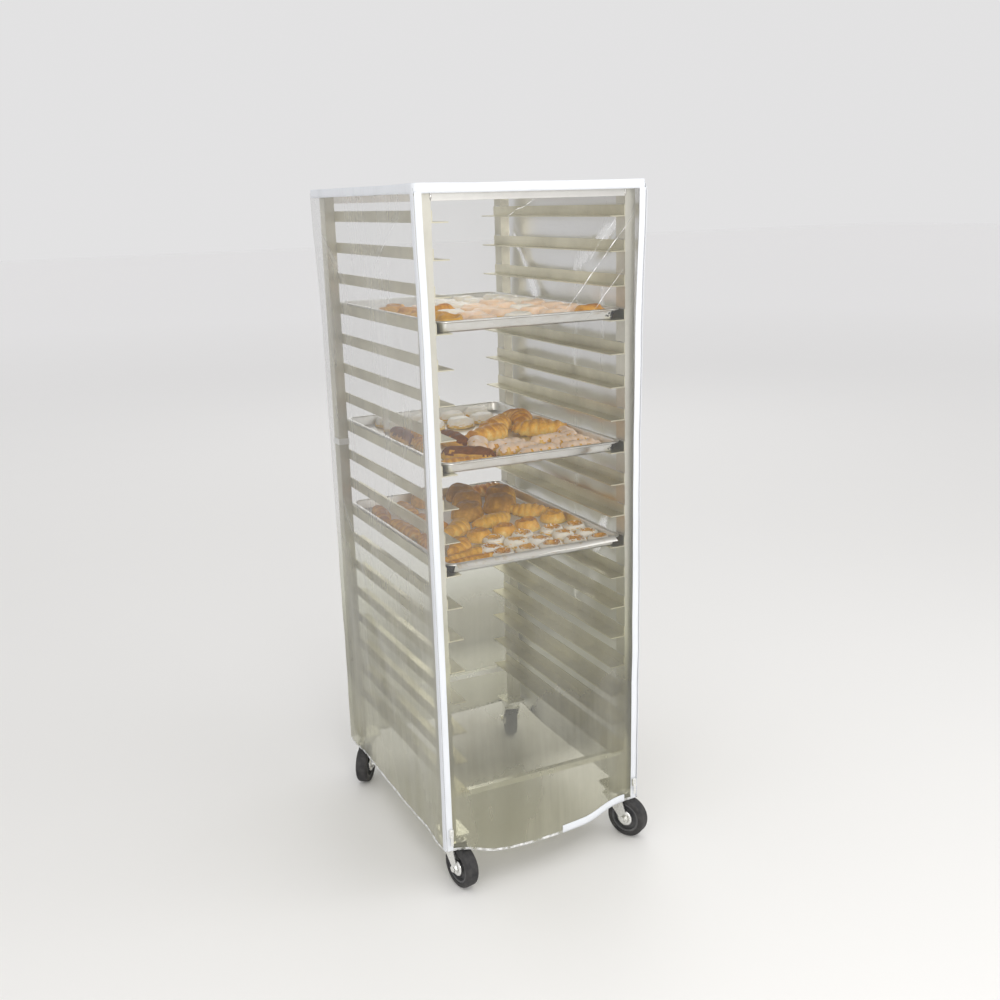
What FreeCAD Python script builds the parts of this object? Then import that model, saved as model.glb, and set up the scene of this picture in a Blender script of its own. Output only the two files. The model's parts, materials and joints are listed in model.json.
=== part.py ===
"""Mobile sheet pan rack with a clear zippered cover, in millimetres.

Frame: +Z up, the floor at z = 0, the origin under the middle of the rack. The front, with the
zippered flap, faces -Y, and +X is to the right seen from the front.
"""

import FreeCAD
import Part
import math
import os

V = FreeCAD.Vector
X_AXIS = V(1, 0, 0)
Y_AXIS = V(0, 1, 0)
Z_AXIS = V(0, 0, 1)

# Rack frame
RACK_WIDTH = 514.0
RACK_DEPTH = 660.0
FRAME_TOP = 1600.0
POST_BOTTOM = 130.0
POST_X = 25.0
POST_Y = 38.0
POST_WALL = 2.0
TIERS = 18
PITCH = 76.2
LOWEST_LEDGE = 235.6
RUNNER_LEG = 25.4
RUNNER_LEDGE = 38.0
RUNNER_THICK = 2.5
TOP_BAR = 25.0
LOW_BAR = 14.0
LOW_BAR_SETBACK = 12.0
BAR_WALL = 2.0
LOW_BAR_TOP = LOWEST_LEDGE - 2.0

# Casters
PLATE_X = 60.0
PLATE_Y = 70.0
PLATE_THICK = 5.0
PLATE_CORNER = 8.0
WHEEL_R = 50.8
TYRE_INNER_R = 38.0
TYRE_WIDTH = 32.0
TYRE_ROUND = 7.0
CORE_RIM_R = 33.0
CORE_WIDTH = 28.0
CORE_WEB = 9.0
HUB_R = 13.0
HUB_WIDTH = 36.0
BEARING_GAP = 0.05
AXLE_R = 5.0
BOLT_HEAD_R = 8.5
BOLT_HEAD = 6.0
TRAIL = 36.0
LEG_GAP = 38.0
LEG_THICK = 3.0
LEG_END_R = 12.0
RACE_R = 27.0
RACE_THICK = 5.0
RACE_GAP = 0.4
LOWER_RACE = 10.6
CROWN_THICK = 4.0
CROWN_BACK = 25.0
CROWN_FRONT = 28.0
CROWN_R = 34.0
KINGPIN_R = 6.0
KINGPIN_HEAD_R = 10.0
KINGPIN_HEAD = 4.0
# Which way each wheel trails from its stem, in degrees from +X towards +Y.
CASTERS = {
    "front_left": (-1, -1, -80.0),
    "front_right": (1, -1, -62.0),
    "rear_left": (-1, 1, -126.0),
    "rear_right": (1, 1, 72.0),
}

# Sheet pans
PAN_WIDTH = 457.0
PAN_DEPTH = 660.0
PAN_HEIGHT = 25.4
PAN_WALL = 1.2
PAN_CORNER = 28.0
RIM_FLANGE = 9.0
RIM_BEAD = 4.0
BEAD_THICK = 3.0
WALL_SLOPE = 6.0
REST_GAP = 0.3
PAN_TIERS = {"upper": 4, "middle": 8, "lower": 11}
LINER_THICK = 0.6
LINER_INSET = 8.0

# Rows of pastries: rows across each pan, the length and height of a row, its end radius
PASTRIES = {
    "upper": {"rows": 6, "length": 396.0, "width": 84.0, "height": 34.0},
    "middle": {"rows": 5, "length": 392.0, "width": 104.0, "height": 38.0},
    "lower": {"rows": 6, "length": 400.0, "width": 88.0, "height": 46.0},
}
PASTRY_GAP = 8.0
PASTRY_ROUND = 12.0

# Clear cover
COVER_TOP_X = 276.0
COVER_TOP_Y = 346.0
COVER_HEM_X = 261.0
COVER_HEM_Y = 339.0
COVER_HEM_Z = 110.0
FILM = 1.0
BAND_HEIGHT = 20.0
BAND_THICK = 1.5
BAND_BELOW = 6.0
PANEL_INSET = 2.5
FLAP_TOP_GAP = 1.5
FLAP_EDGE = 3.0
TAPE_WIDTH = 15.0
TAPE_THICK = 1.2
TAPE_SEAT = FILM + 0.05
TAPE_TOP_GAP = 12.0
HEM_TAPE = 18.0
HEM_TAPE_LEFT = 0.56
HEM_TAPE_RIGHT = 0.93
SLIDER_X = 11.0
SLIDER_Y = 6.0
SLIDER_Z = 22.0
SLIDER_GAP = 0.5
PULL_LENGTH = 34.0
PULL_WIDTH = 7.0
PULL_THICK = 2.0
SLIDER_ABOVE_HEM = 30.0
BAND_BOTTOM = 961.0
BAND_HEIGHT = 16.0
BAND_THICK = 1.6

# Worked out from the driving sizes
HALF_X = RACK_WIDTH / 2
HALF_Y = RACK_DEPTH / 2
INNER_X = HALF_X - POST_X
STEM_X = HALF_X - PLATE_X / 2
STEM_Y = HALF_Y - PLATE_Y / 2
PLATE_BOTTOM = POST_BOTTOM - PLATE_THICK
RACE_BOTTOM = PLATE_BOTTOM - RACE_THICK
CROWN_TOP = RACE_BOTTOM - RACE_GAP - LOWER_RACE
CROWN_BOTTOM = CROWN_TOP - CROWN_THICK
COVER_TOP = FRAME_TOP + FILM
FLAP_TOP = FRAME_TOP - BAND_BELOW - FLAP_TOP_GAP


def save(node, *solids):
    """Writes one sub-part, one solid or several that repeat, as parts/NODE.step."""
    shape = solids[0] if len(solids) == 1 else Part.makeCompound(list(solids))
    shape.exportStep(f"parts/{node}.step")


def block(low, high):
    """A box between two opposite corners."""
    low = V(*low)
    size = V(*high) - low
    return Part.makeBox(size.x, size.y, size.z, low)


def mirrored(shape):
    """The same shape on the other side of the rack's middle plane x = 0."""
    return shape.mirror(V(0, 0, 0), X_AXIS)


def tube(low, high, wall, along):
    """A rectangular tube between two corners, open at both ends along one axis."""
    inset = V(wall, wall, wall)
    setattr(inset, along, -1.0)
    core = block(V(*low) + inset, V(*high) - inset)
    return block(low, high).cut(core)


def plate(points, thickness):
    """A flat plate on a closed outline, thickened along the outline's right-hand normal."""
    face = Part.Face(Part.makePolygon(points + [points[0]]))
    normal = (points[1] - points[0]).cross(points[2] - points[1])
    return face.extrude(normal.normalize() * thickness)


def rounded_outline(half_x, half_y, radius, z):
    """A closed rectangular wire with rounded corners, centred on the z axis."""
    edges = []
    corners = [(1, 1, 0), (-1, 1, 90), (-1, -1, 180), (1, -1, 270)]
    for sx, sy, start in corners:
        centre = V(sx * (half_x - radius), sy * (half_y - radius), z)
        edges.append(Part.makeCircle(radius, centre, Z_AXIS, start, start + 90))
    wires = []
    for edge, following in zip(edges, edges[1:] + edges[:1]):
        wires.append(edge)
        wires.append(Part.makeLine(edge.lastVertex().Point, following.firstVertex().Point))
    return Part.Wire(wires)


def rounded_block(half_x, half_y, radius, z_low, z_high):
    """An upright block with rounded corners."""
    face = Part.Face(rounded_outline(half_x, half_y, radius, z_low))
    return face.extrude(V(0, 0, z_high - z_low))


def ledge_z(tier):
    """The underside of a tier's ledges. Tier 1 is the top one."""
    return LOWEST_LEDGE + (TIERS - tier) * PITCH


# Rack frame


def runner(tier):
    """One angle runner on the right: an upright leg on the posts and a ledge inwards."""
    z = ledge_z(tier)
    leg = block((INNER_X - RUNNER_THICK, -HALF_Y, z), (INNER_X, HALF_Y, z + RUNNER_LEG))
    ledge = block((INNER_X - RUNNER_LEDGE, -HALF_Y, z), (INNER_X, HALF_Y, z + RUNNER_THICK))
    return leg.fuse(ledge).removeSplitter()


def post(side, end):
    """One hollow corner post, from its caster plate to the top of the frame."""
    x = sorted((side * INNER_X, side * HALF_X))
    y = sorted((end * (HALF_Y - POST_Y), end * HALF_Y))
    return tube((x[0], y[0], POST_BOTTOM), (x[1], y[1], FRAME_TOP), POST_WALL, "z")


def tape_band():
    """The band of tape wound round the rear left post, between two runners."""
    x = (-HALF_X - BAND_THICK, -INNER_X + BAND_THICK)
    y = (HALF_Y - POST_Y - BAND_THICK, HALF_Y + BAND_THICK)
    low = (x[0], y[0], BAND_BOTTOM)
    return tube(low, (x[1], y[1], BAND_BOTTOM + BAND_HEIGHT), BAND_THICK, "z")


def crossbar(end, top, size, setback):
    """A square tube between two posts at the front (end -1) or the rear (end 1)."""
    outer = HALF_Y - setback
    y = sorted((end * (outer - size), end * outer))
    return tube((-INNER_X, y[0], top - size), (INNER_X, y[1], top), BAR_WALL, "x")


def make_frame():
    for tier in range(1, TIERS + 1):
        right = runner(tier)
        save(f"runner_pair_{tier:02d}", right, mirrored(right))
    for name, (side, end, _) in CASTERS.items():
        save(f"post_{name}", post(side, end))
    save("tape_band", tape_band())
    for name, end in (("front", -1), ("rear", 1)):
        save(f"crossbar_top_{name}", crossbar(end, FRAME_TOP, TOP_BAR, 0.0))
        save(f"crossbar_bottom_{name}", crossbar(end, LOW_BAR_TOP, LOW_BAR, LOW_BAR_SETBACK))


# Casters. Each is made about its own stem, with the wheel trailing along +X, and then placed.


def place_caster(shape, side, end, trail_degrees):
    """Turns a caster piece to its trail direction and moves it to its corner of the rack."""
    turned = shape.copy()
    turned.rotate(V(0, 0, 0), Z_AXIS, trail_degrees)
    turned.translate(V(side * STEM_X, end * STEM_Y, 0))
    return turned


def caster_plate():
    """The top plate with its upper race and the kingpin that holds the fork."""
    body = rounded_block(PLATE_X / 2, PLATE_Y / 2, PLATE_CORNER, PLATE_BOTTOM, POST_BOTTOM)
    race = Part.makeCylinder(RACE_R, RACE_THICK, V(0, 0, RACE_BOTTOM))
    head_top = CROWN_BOTTOM - RACE_GAP
    pin = Part.makeCylinder(KINGPIN_R, RACE_BOTTOM - head_top, V(0, 0, head_top))
    head = Part.makeCylinder(KINGPIN_HEAD_R, KINGPIN_HEAD, V(0, 0, head_top - KINGPIN_HEAD))
    return body.fuse([race, pin, head]).removeSplitter()


def fork_leg(outer_y, inner_y):
    """One side of the fork: a tapered plate from the crown down to the axle."""
    top_back = V(-CROWN_BACK, 0, CROWN_TOP)
    top_front = V(CROWN_FRONT, 0, CROWN_TOP)
    front = V(TRAIL + LEG_END_R, 0, WHEEL_R)
    low = V(TRAIL, 0, WHEEL_R - LEG_END_R)
    back = V(TRAIL - LEG_END_R, 0, WHEEL_R)
    outline = [
        Part.makeLine(top_back, top_front),
        Part.makeLine(top_front, front),
        Part.Arc(front, low, back).toShape(),
        Part.makeLine(back, top_back),
    ]
    leg = Part.Face(Part.Wire(outline)).extrude(V(0, outer_y - inner_y, 0))
    leg.translate(V(0, inner_y, 0))
    return leg


def caster_fork():
    """The swivelling fork: crown, lower race and two legs, bored for kingpin and axle."""
    inner = LEG_GAP / 2
    outer = inner + LEG_THICK
    crown = block((-CROWN_BACK, -outer, CROWN_BOTTOM), (CROWN_FRONT, outer, CROWN_TOP))
    crown = crown.common(Part.makeCylinder(CROWN_R, CROWN_THICK, V(0, 0, CROWN_BOTTOM)))
    race = Part.makeCylinder(RACE_R - 2, LOWER_RACE, V(0, 0, CROWN_TOP))
    fork = crown.fuse([race, fork_leg(outer, inner), fork_leg(-outer, -inner)])
    reach = LOWER_RACE + CROWN_THICK
    kingpin_hole = Part.makeCylinder(KINGPIN_R + BEARING_GAP, reach, V(0, 0, CROWN_BOTTOM))
    axle_hole = Part.makeCylinder(AXLE_R, 2 * outer, V(TRAIL, -outer, WHEEL_R), Y_AXIS)
    return fork.cut([kingpin_hole, axle_hole]).removeSplitter()


def hexagon(radius, y_low, y_high):
    """A hexagonal bolt head or nut round the axle line."""
    points = []
    for step in range(6):
        angle = math.radians(60 * step)
        points.append(
            V(TRAIL + radius * math.cos(angle), y_low, WHEEL_R + radius * math.sin(angle))
        )
    face = Part.Face(Part.makePolygon(points + [points[0]]))
    return face.extrude(V(0, y_high - y_low, 0))


def caster_axle():
    """The axle bolt through both legs, with its head and nut outside them."""
    outer = LEG_GAP / 2 + LEG_THICK
    shank = Part.makeCylinder(AXLE_R, 2 * outer, V(TRAIL, -outer, WHEEL_R), Y_AXIS)
    head = hexagon(BOLT_HEAD_R, -outer - BOLT_HEAD, -outer)
    nut = hexagon(BOLT_HEAD_R, outer, outer + BOLT_HEAD)
    return shank.fuse([head, nut]).removeSplitter()


def disc(radius, width):
    """A disc round the axle line, centred on the wheel."""
    return Part.makeCylinder(radius, width, V(TRAIL, -width / 2, WHEEL_R), Y_AXIS)


def caster_core():
    """The wheel's centre: hub, web and rim in one piece."""
    rim = disc(TYRE_INNER_R, CORE_WIDTH).cut(disc(CORE_RIM_R, CORE_WIDTH))
    core = rim.fuse([disc(CORE_RIM_R, CORE_WEB), disc(HUB_R, HUB_WIDTH)])
    return core.cut(disc(AXLE_R + BEARING_GAP, HUB_WIDTH)).removeSplitter()


def caster_tyre():
    """The tread ring, rounded at both outer edges."""
    tread = disc(WHEEL_R, TYRE_WIDTH)
    rounds = [e for e in tread.Edges if abs(e.Length - 2 * math.pi * WHEEL_R) < 1e-3]
    return tread.makeFillet(TYRE_ROUND, rounds).cut(disc(TYRE_INNER_R, TYRE_WIDTH))


def make_casters():
    plates = []
    pieces = {
        "fork": caster_fork(),
        "axle": caster_axle(),
        "core": caster_core(),
        "tyre": caster_tyre(),
    }
    for name, (side, end, trail_degrees) in CASTERS.items():
        plates.append(place_caster(caster_plate(), side, end, 0))
        for piece, shape in pieces.items():
            save(f"caster_{piece}_{name}", place_caster(shape, side, end, trail_degrees))
    save("caster_plates", *plates)


# Pans and what is on them


def pan(z):
    """A rimmed sheet pan with its base at height z."""
    top = z + PAN_HEIGHT
    lip_x = PAN_WIDTH / 2 - RIM_FLANGE
    lip_y = PAN_DEPTH / 2 - RIM_FLANGE
    base_x = lip_x - WALL_SLOPE
    base_y = lip_y - WALL_SLOPE
    radius = PAN_CORNER - RIM_FLANGE
    outside = Part.makeLoft(
        [
            rounded_outline(base_x, base_y, radius, z),
            rounded_outline(lip_x, lip_y, radius, top),
        ],
        True,
    )
    inside = Part.makeLoft(
        [
            rounded_outline(base_x - PAN_WALL, base_y - PAN_WALL, radius - PAN_WALL, z + PAN_WALL),
            rounded_outline(lip_x - PAN_WALL, lip_y - PAN_WALL, radius - PAN_WALL, top),
        ],
        True,
    )
    half_x = PAN_WIDTH / 2
    half_y = PAN_DEPTH / 2
    flange = rounded_block(half_x, half_y, PAN_CORNER, top - RIM_BEAD, top)
    under = rounded_block(
        half_x - BEAD_THICK,
        half_y - BEAD_THICK,
        PAN_CORNER - BEAD_THICK,
        top - RIM_BEAD,
        top - PAN_WALL,
    )
    rim = flange.cut(under)
    return outside.fuse(rim).cut(inside).removeSplitter()


def pastry_rows(rows, length, width, height, z):
    """Rounded bars across the pan, one for each row of pastries."""
    solids = []
    pitch = width + PASTRY_GAP
    for row in range(rows):
        y = (row - (rows - 1) / 2) * pitch
        bar = block((-length / 2, y - width / 2, z), (length / 2, y + width / 2, z + height))
        edges = [e for e in bar.Edges if e.BoundBox.ZMin > z + height - 1e-6]
        solids.append(bar.makeFillet(PASTRY_ROUND, edges))
    return solids


def liner(z):
    """The baking paper on the lower pan's base."""
    half_x = PAN_WIDTH / 2 - RIM_FLANGE - WALL_SLOPE - LINER_INSET
    half_y = PAN_DEPTH / 2 - RIM_FLANGE - WALL_SLOPE - LINER_INSET
    return block((-half_x, -half_y, z), (half_x, half_y, z + LINER_THICK))


def make_pans():
    for name, tier in PAN_TIERS.items():
        base = ledge_z(tier) + RUNNER_THICK + REST_GAP
        inside = base + PAN_WALL
        save(f"pan_{name}", pan(base))
        if name == "lower":
            save("liner_lower", liner(inside))
            inside += LINER_THICK
        save(f"pastries_{name}", *pastry_rows(z=inside, **PASTRIES[name]))


# Cover. Its four sides lean inwards towards the hem.


def half_size(z):
    """Half the cover's outer width and depth at a height."""
    part = (COVER_TOP - z) / (COVER_TOP - COVER_HEM_Z)
    half_x = COVER_TOP_X + (COVER_HEM_X - COVER_TOP_X) * part
    half_y = COVER_TOP_Y + (COVER_HEM_Y - COVER_TOP_Y) * part
    return half_x, half_y


def on_side(end, z, inset, out=0.0):
    """A point on the right side panel, inset mm in from its front or rear corner."""
    half_x, half_y = half_size(z)
    return V(half_x + out, end * (half_y - inset), z)


def on_end(end, side, z, inset, out=0.0):
    """A point on the front or rear panel, inset mm in from its corner."""
    half_x, half_y = half_size(z)
    return V(side * (half_x - inset), end * (half_y + out), z)


def side_film():
    """The right side panel, thickened inwards."""
    low = COVER_HEM_Z
    high = FRAME_TOP - FILM
    points = [
        on_side(1, low, 0),
        on_side(-1, low, 0),
        on_side(-1, high, 0),
        on_side(1, high, 0),
    ]
    return plate(points, FILM)


def side_strip(end, z_low, z_high, inset, width, thickness):
    """A strip on the outside of the right side panel, near its front or rear edge."""
    points = [
        on_side(end, z_low, inset),
        on_side(end, z_low, inset + width),
        on_side(end, z_high, inset + width),
        on_side(end, z_high, inset),
    ]
    if end > 0:
        points.reverse()
    return plate(points, thickness)


def end_strip(end, z_low, z_high, inset, out, thickness):
    """A strip of the front or rear panel between two heights, thickened outwards."""
    points = [
        on_end(end, -1, z_low, inset, out),
        on_end(end, 1, z_low, inset, out),
        on_end(end, 1, z_high, inset, out),
        on_end(end, -1, z_high, inset, out),
    ]
    if end > 0:
        points.reverse()
    return plate(points, thickness)


def top_band():
    """The binding that stands along all four top edges, one strip to an edge."""
    low = FRAME_TOP - BAND_BELOW
    high = low + BAND_HEIGHT
    x = COVER_TOP_X
    y = COVER_TOP_Y
    strips = []
    for end in (-1, 1):
        near, far = sorted((end * y, end * (y + BAND_THICK)))
        strips.append(block((-x - BAND_THICK, near, low), (x + BAND_THICK, far, high)))
        near, far = sorted((end * x, end * (x + BAND_THICK)))
        strips.append(block((near, -y, low), (far, y, high)))
    return strips


def flap_tape():
    """The moving half of the right-hand zipper, on the flap's edge."""
    near = FLAP_EDGE
    far = FLAP_EDGE + TAPE_WIDTH
    low = COVER_HEM_Z
    high = FLAP_TOP - TAPE_TOP_GAP
    points = [
        on_end(-1, 1, low, far, TAPE_SEAT),
        on_end(-1, 1, low, near, TAPE_SEAT),
        on_end(-1, 1, high, near, TAPE_SEAT),
        on_end(-1, 1, high, far, TAPE_SEAT),
    ]
    return plate(points, TAPE_THICK)


def hem_tape():
    """The white strip along the right-hand part of the flap's hem, between its end shares."""
    low = COVER_HEM_Z
    high = COVER_HEM_Z + HEM_TAPE
    width = 2 * half_size(low)[0]
    points = []
    for z, shares in ((low, (0, 1)), (high, (1, 0))):
        for share in shares:
            end = HEM_TAPE_RIGHT if share else HEM_TAPE_LEFT
            points.append(on_end(-1, -1, z, width * end, TAPE_SEAT))
    return plate(points, TAPE_THICK)


def slider():
    """The right-hand zipper's slider and pull, in front of the flap's edge."""
    z = COVER_HEM_Z + SLIDER_ABOVE_HEM
    x = half_size(z)[0] - FLAP_EDGE - TAPE_WIDTH / 2
    back = -(half_size(z + SLIDER_Z)[1] + FILM + TAPE_THICK + SLIDER_GAP)
    body = block((x - SLIDER_X / 2, back - SLIDER_Y, z), (x + SLIDER_X / 2, back, z + SLIDER_Z))
    pull_low = z + SLIDER_Z / 2 - PULL_LENGTH
    pull = block(
        (x - PULL_WIDTH / 2, back - SLIDER_Y - PULL_THICK, pull_low),
        (x + PULL_WIDTH / 2, back - SLIDER_Y, pull_low + PULL_LENGTH),
    )
    return body.fuse(pull).removeSplitter()


def make_cover():
    x = COVER_TOP_X
    y = COVER_TOP_Y
    right = side_film()
    tape = side_strip(-1, COVER_HEM_Z, FLAP_TOP, 0, TAPE_WIDTH, TAPE_THICK)
    save("cover_top", block((-x, -y, FRAME_TOP), (x, y, COVER_TOP)))
    save("cover_right", right)
    save("cover_left", mirrored(right))
    rear = end_strip(1, COVER_HEM_Z, FRAME_TOP, PANEL_INSET, -FILM, FILM)
    save("cover_rear", rear)
    save("cover_binding", *top_band(), tape, mirrored(tape))
    flap = end_strip(-1, COVER_HEM_Z, FLAP_TOP, FLAP_EDGE, 0, FILM)
    save("front_flap", flap)
    edge = flap_tape()
    save("flap_tapes", edge, mirrored(edge), hem_tape())
    save("zip_slider_right", slider())
    save("zip_slider_left", mirrored(slider()))


os.makedirs("parts", exist_ok=True)
make_frame()
make_casters()
make_pans()
make_cover()
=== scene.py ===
"""The sheet pan rack's looks: clear wrinkled cover, aluminium rack, casters, pans and pastries."""

import json
import math

import bmesh
import bpy
from mathutils import Matrix, Vector, noise


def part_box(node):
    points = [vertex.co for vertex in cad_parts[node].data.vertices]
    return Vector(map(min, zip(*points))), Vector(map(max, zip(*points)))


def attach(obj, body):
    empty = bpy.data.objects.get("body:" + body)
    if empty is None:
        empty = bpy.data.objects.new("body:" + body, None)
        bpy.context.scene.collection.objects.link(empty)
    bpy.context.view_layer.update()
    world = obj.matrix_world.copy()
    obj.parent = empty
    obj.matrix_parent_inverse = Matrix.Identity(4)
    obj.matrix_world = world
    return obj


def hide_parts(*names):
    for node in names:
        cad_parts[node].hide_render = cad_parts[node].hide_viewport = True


MM = 0.001
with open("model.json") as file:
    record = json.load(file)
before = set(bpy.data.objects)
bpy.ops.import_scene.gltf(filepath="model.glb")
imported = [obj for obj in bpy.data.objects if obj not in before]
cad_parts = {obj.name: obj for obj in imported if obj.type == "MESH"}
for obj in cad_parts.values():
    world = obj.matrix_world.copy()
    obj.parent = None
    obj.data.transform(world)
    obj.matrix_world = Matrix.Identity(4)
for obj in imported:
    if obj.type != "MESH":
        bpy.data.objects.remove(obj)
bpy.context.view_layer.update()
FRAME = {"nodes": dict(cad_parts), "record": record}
NODES = FRAME["nodes"]
CORNERS = ("front_left", "front_right", "rear_left", "rear_right")


# Small helpers


def smooth(low, high, value):
    """0 up to low, 1 from high on, and a smooth step between them."""
    part = min(1.0, max(0.0, (value - low) / (high - low)))
    return part * part * (3 - 2 * part)


def waver(x, y, z):
    """Smooth noise between about -1 and 1, the same each time for a place."""
    return noise.noise(Vector((x, y, z)))


def new_object(name, mesh, material):
    """An object for a finished mesh, with its materials and smooth faces."""
    obj = bpy.data.objects.new(name, mesh)
    bpy.context.scene.collection.objects.link(obj)
    for one in material if isinstance(material, (list, tuple)) else [material]:
        mesh.materials.append(one)
    for face in mesh.polygons:
        face.use_smooth = True
    return obj


def mesh_from(name, points, faces, slots=None):
    """A mesh from points and faces, with a material slot for each face if they are given."""
    mesh = bpy.data.meshes.new(name)
    mesh.from_pydata([tuple(p) for p in points], [], faces)
    if slots:
        for face, slot in zip(mesh.polygons, slots):
            face.material_index = slot
    mesh.update()
    return mesh


def grid_faces(columns, rows, closed=False):
    """Quads between rows of points, each row with that many points, in row order."""
    faces = []
    for row in range(rows - 1):
        for column in range(columns if closed else columns - 1):
            a = row * columns + column
            b = row * columns + (column + 1) % columns
            faces.append((a, b, b + columns, a + columns))
    return faces


def grid_object(name, columns, rows, point_at, material):
    """A sheet of quads: point_at(u, v) gives its point at the shares u and v, each from 0 to 1."""
    across = [column / (columns - 1) for column in range(columns)]
    points = [point_at(u, row / (rows - 1)) for row in range(rows) for u in across]
    return new_object(name, mesh_from(name, points, grid_faces(columns, rows)), material)


def swept_object(name, rings, material):
    """A closed tube: each ring is a list of points, and the last ring joins the first."""
    count = len(rings[0])
    faces = []
    for ring in range(len(rings)):
        here = ring * count
        following = (ring + 1) % len(rings) * count
        for item in range(count):
            other = (item + 1) % count
            faces.append((here + item, here + other, following + other, following + item))
    return new_object(name, mesh_from(name, [point for ring in rings for point in ring], faces), material)


def rounded_path(half_x, half_y, radius, steps, straight):
    """Points and outward directions round a rectangle: steps up each corner, straight along each side."""
    path = []
    corners = [(1, 1), (-1, 1), (-1, -1), (1, -1)]
    for index, (sx, sy) in enumerate(corners):
        centre = Vector((sx * (half_x - radius), sy * (half_y - radius), 0))
        for step in range(steps + 1):
            angle = math.radians(90 * (index + step / steps))
            out = Vector((math.cos(angle), math.sin(angle), 0))
            path.append((centre + out * radius, out))
        nx, ny = corners[(index + 1) % 4]
        target = Vector((nx * (half_x - radius), ny * (half_y - radius), 0)) + out * radius
        last = path[-1][0]
        path += [(last.lerp(target, step / straight), out) for step in range(1, straight)]
    return path


def modifier(obj, kind, **settings):
    """Adds a modifier with those settings."""
    made = obj.modifiers.new(kind.title(), kind)
    for key, value in settings.items():
        setattr(made, key, value)
    return made


def bevel(obj, width, segments=2):
    """Softens an object's sharp edges by that width in metres."""
    modifier(obj, "BEVEL", width=width, segments=segments, limit_method="ANGLE", angle_limit=0.6)
    modifier(obj, "WEIGHTED_NORMAL", keep_sharp=False)


def settle(obj, body, stands_for=None):
    """Puts a piece on a body, and in place of a CAD node if one is named."""
    if stands_for:
        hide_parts(stands_for)
    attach(obj, body)


# Materials


class Paint:
    """A Principled material, with short ways to add noise, ramps and bumps to it."""

    def __init__(self, name, color, roughness, metallic=0.0, **values):
        self.material = bpy.data.materials.new(name)
        self.material.use_nodes = True
        self.tree = self.material.node_tree
        self.shader = self.tree.nodes["Principled BSDF"]
        self.output = self.tree.nodes["Material Output"]
        self.shader.inputs["Base Color"].default_value = (*color, 1)
        self.shader.inputs["Roughness"].default_value = roughness
        self.shader.inputs["Metallic"].default_value = metallic
        for socket, value in values.items():
            self.shader.inputs[socket.replace("_", " ")].default_value = value
        self.coordinates = self.tree.nodes.new("ShaderNodeTexCoord")

    def link(self, source, target):
        """Joins an output socket to an input socket."""
        self.tree.links.new(source, target)

    def node(self, kind, **settings):
        """A new node of that kind, with those settings."""
        made = self.tree.nodes.new(kind)
        for key, value in settings.items():
            setattr(made, key, value)
        return made

    def place(self, scale):
        """Object coordinates, in metres, stretched along each axis."""
        mapping = self.node("ShaderNodeMapping")
        mapping.inputs["Scale"].default_value = scale
        self.link(self.coordinates.outputs["Object"], mapping.inputs["Vector"])
        return mapping.outputs["Vector"]

    def noise(self, scale, detail=4.0, roughness=0.55, distortion=0.0):
        """Noise with that many grains to the metre: one number, or one for each axis."""
        made = self.node("ShaderNodeTexNoise")
        settings = {"Scale": 1.0, "Detail": detail, "Roughness": roughness, "Distortion": distortion}
        for socket, value in settings.items():
            made.inputs[socket].default_value = value
        axes = scale if isinstance(scale, tuple) else (scale, scale, scale)
        self.link(self.place(axes), made.inputs["Vector"])
        return made.outputs["Fac"]

    def ramp(self, source, *stops):
        """A colour ramp of (position, colour) stops on a value."""
        made = self.node("ShaderNodeValToRGB")
        elements = made.color_ramp.elements
        while len(elements) < len(stops):
            elements.new(0.5)
        for element, (position, color) in zip(elements, stops):
            element.position = position
            element.color = (*color, 1)
        self.link(source, made.inputs["Fac"])
        return made.outputs["Color"]

    def span(self, source, low, high, to_low, to_high):
        """A value spread from one range to another, and held at its ends."""
        made = self.node("ShaderNodeMapRange")
        for socket, value in zip(made.inputs[1:5], (low, high, to_low, to_high)):
            socket.default_value = value
        self.link(source, made.inputs["Value"])
        return made.outputs["Result"]

    def mix(self, share, first, second):
        """Mixes two colours, each a socket or a plain colour, by a value socket."""
        made = self.node("ShaderNodeMix", data_type="RGBA")
        self.link(share, made.inputs["Factor"])
        for socket, value in ((made.inputs[6], first), (made.inputs[7], second)):
            if isinstance(value, tuple):
                socket.default_value = (*value, 1)
            else:
                self.link(value, socket)
        return made.outputs[2]

    def times(self, first, second):
        """The product of two value sockets."""
        made = self.node("ShaderNodeMath", operation="MULTIPLY")
        self.link(first, made.inputs[0])
        self.link(second, made.inputs[1])
        return made.outputs["Value"]

    def mix_shaders(self, share, first, second):
        """Mixes two shaders by a value socket."""
        made = self.node("ShaderNodeMixShader")
        for socket, source in zip(made.inputs, (share, first, second)):
            self.link(source, socket)
        return made.outputs["Shader"]

    def color(self, source):
        """Drives the base colour."""
        self.link(source, self.shader.inputs["Base Color"])

    def roughness(self, source, low, high):
        """Drives the roughness by noise, between low and high."""
        self.link(self.span(source, 0.3, 0.7, low, high), self.shader.inputs["Roughness"])

    def bump(self, source, distance, strength=1.0):
        """Adds a bump of that depth in metres, on top of any bump there is already."""
        made = self.node("ShaderNodeBump")
        made.inputs["Strength"].default_value = strength
        made.inputs["Distance"].default_value = distance
        self.link(source, made.inputs["Height"])
        normal = self.shader.inputs["Normal"]
        if normal.links:
            self.link(normal.links[0].from_socket, made.inputs["Normal"])
        self.link(made.outputs["Normal"], normal)

    def attribute(self, name):
        """The value that the mesh holds for each point under that name."""
        return self.node("ShaderNodeAttribute", attribute_name=name).outputs["Fac"]


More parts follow.
